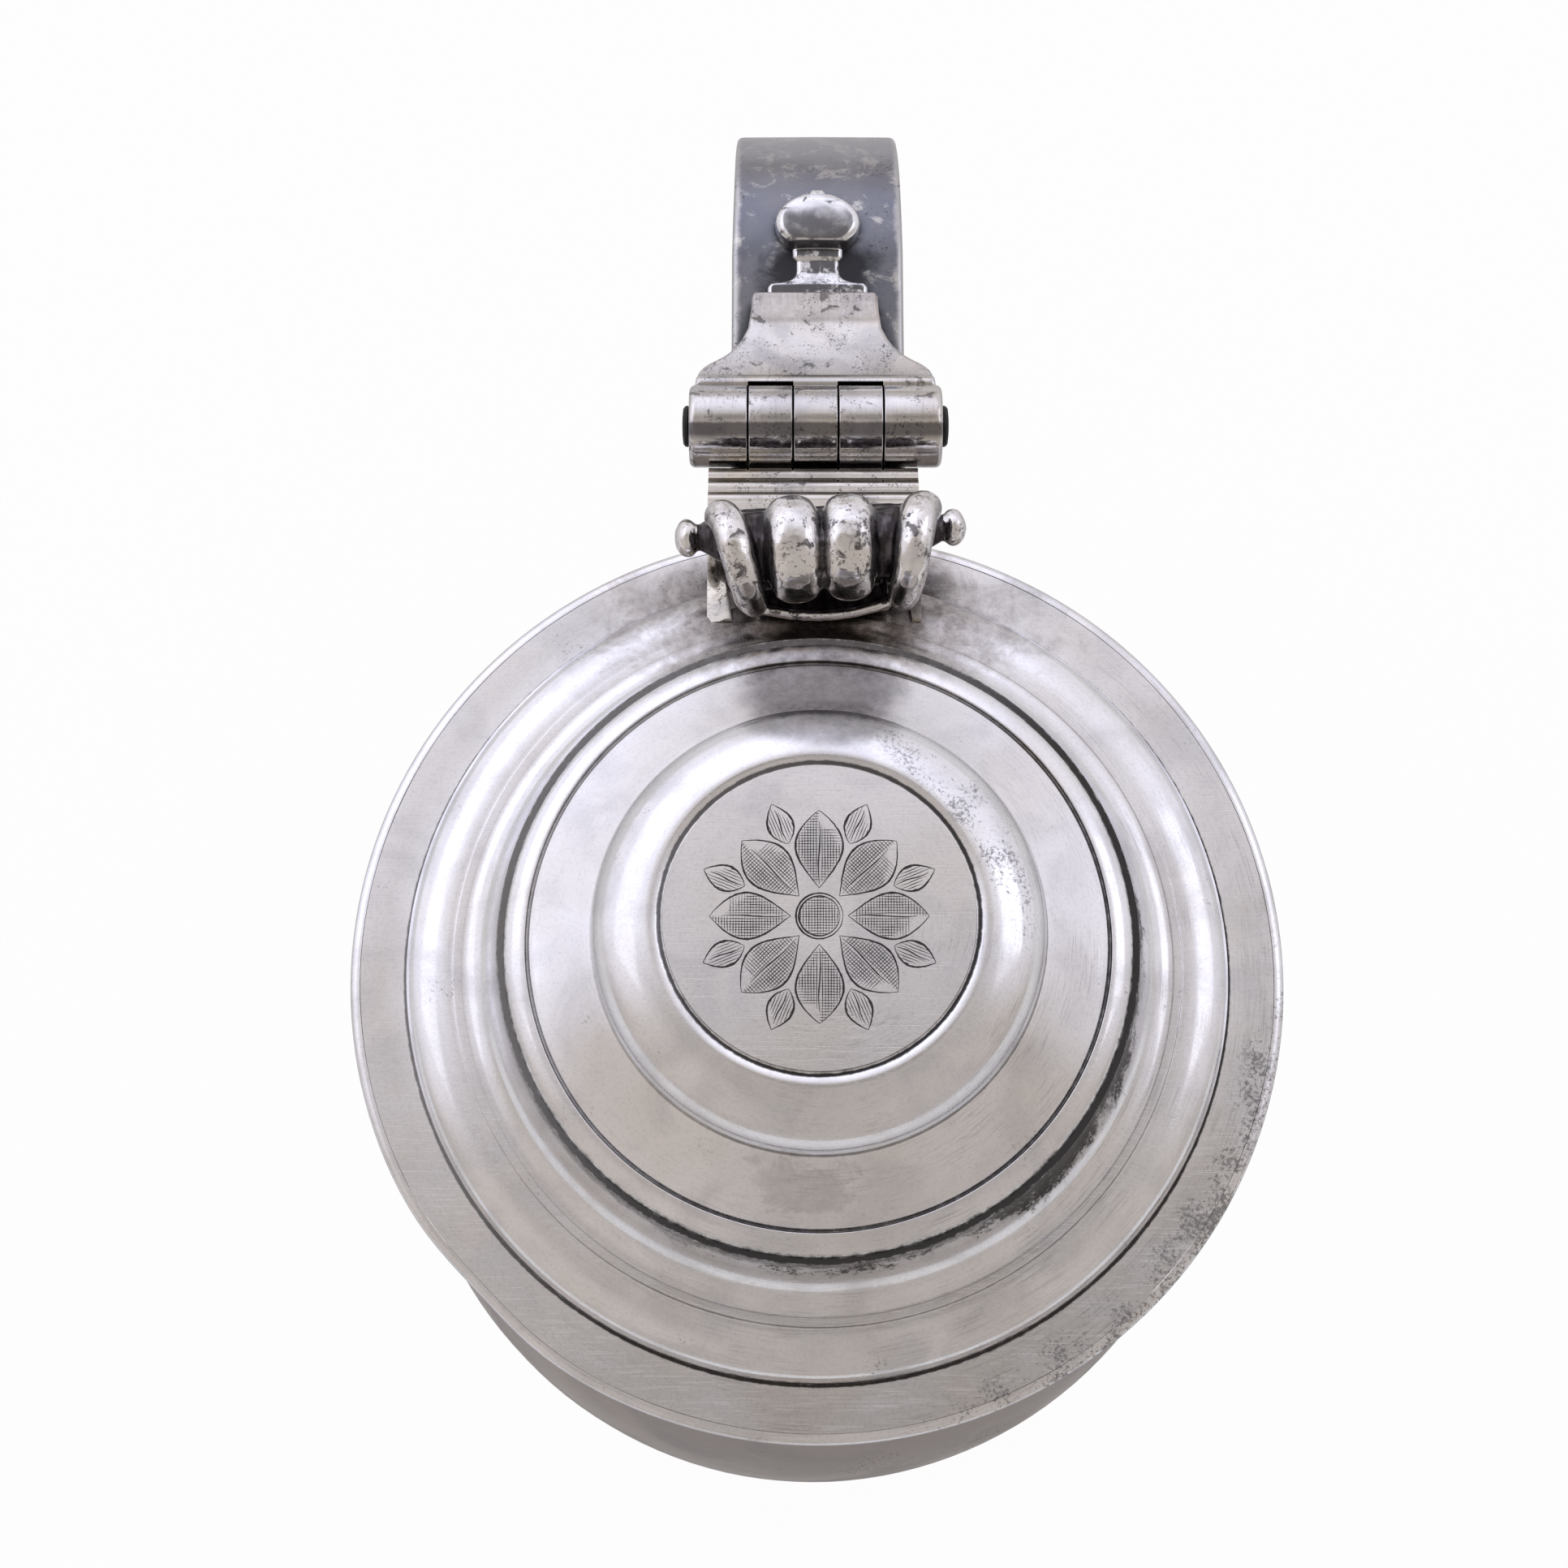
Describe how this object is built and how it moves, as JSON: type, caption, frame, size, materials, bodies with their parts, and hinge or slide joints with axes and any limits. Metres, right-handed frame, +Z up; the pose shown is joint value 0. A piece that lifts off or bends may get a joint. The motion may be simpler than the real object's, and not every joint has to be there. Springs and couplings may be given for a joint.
{
  "type": "lidded tankard",
  "caption": "Lidded silver tankard with a bellied body on a spreading foot, a hollow scroll handle and a stepped domed lid that opens on a knuckled hinge by a ribbed thumbpiece.",
  "frame": {"origin": "centre of the bowl's flat underside, on the body's axis", "axes": "+Z up along the body's axis, +Y towards the handle, +X to the right of someone facing the front, along the hinge"},
  "size_m": [0.115, 0.1837, 0.1709],
  "materials": {
    "silver_bright": "polished silver with handling scratches and dark oxide in the steps",
    "silver_worn": "dull worn silver with grey tarnish",
    "silver_tarnished": "dark blue-grey tarnished silver with bright worn edges",
    "pin_black": "blackened pin ends"
  },
  "bodies": {
    "body": {"body_wall": "silver_worn", "lip_moulding": "silver_bright", "foot": "silver_worn", "foot_wire": "silver_worn", "handle_strap": "silver_tarnished", "handle_shell": "silver_worn", "handle_pad": "silver_worn", "handle_terminal": "silver_worn", "handle_leaf": "silver_bright", "handle_drop": "silver_bright", "handle_knuckle_left": "silver_bright", "handle_knuckle_centre": "silver_bright", "handle_knuckle_right": "silver_bright", "hinge_pin": "silver_worn", "pin_cap_left": "pin_black", "pin_cap_right": "pin_black"},
    "lid": {"lid_skirt": "silver_bright", "lid_rim_wire": "silver_bright", "lid_dome": "silver_bright", "lid_bezel": "silver_worn", "hinge_plate": "silver_bright", "lid_knuckle_left": "silver_bright", "lid_knuckle_right": "silver_bright", "thumbpiece": "silver_bright"}
  },
  "joints": [
    {"name": "lid_hinge", "type": "hinge", "parent": "body", "child": "lid", "pos_m": [0, 0.0715, 0.1294], "axis": [-1, 0, 0], "range_deg": [0, 105]}
  ]
}
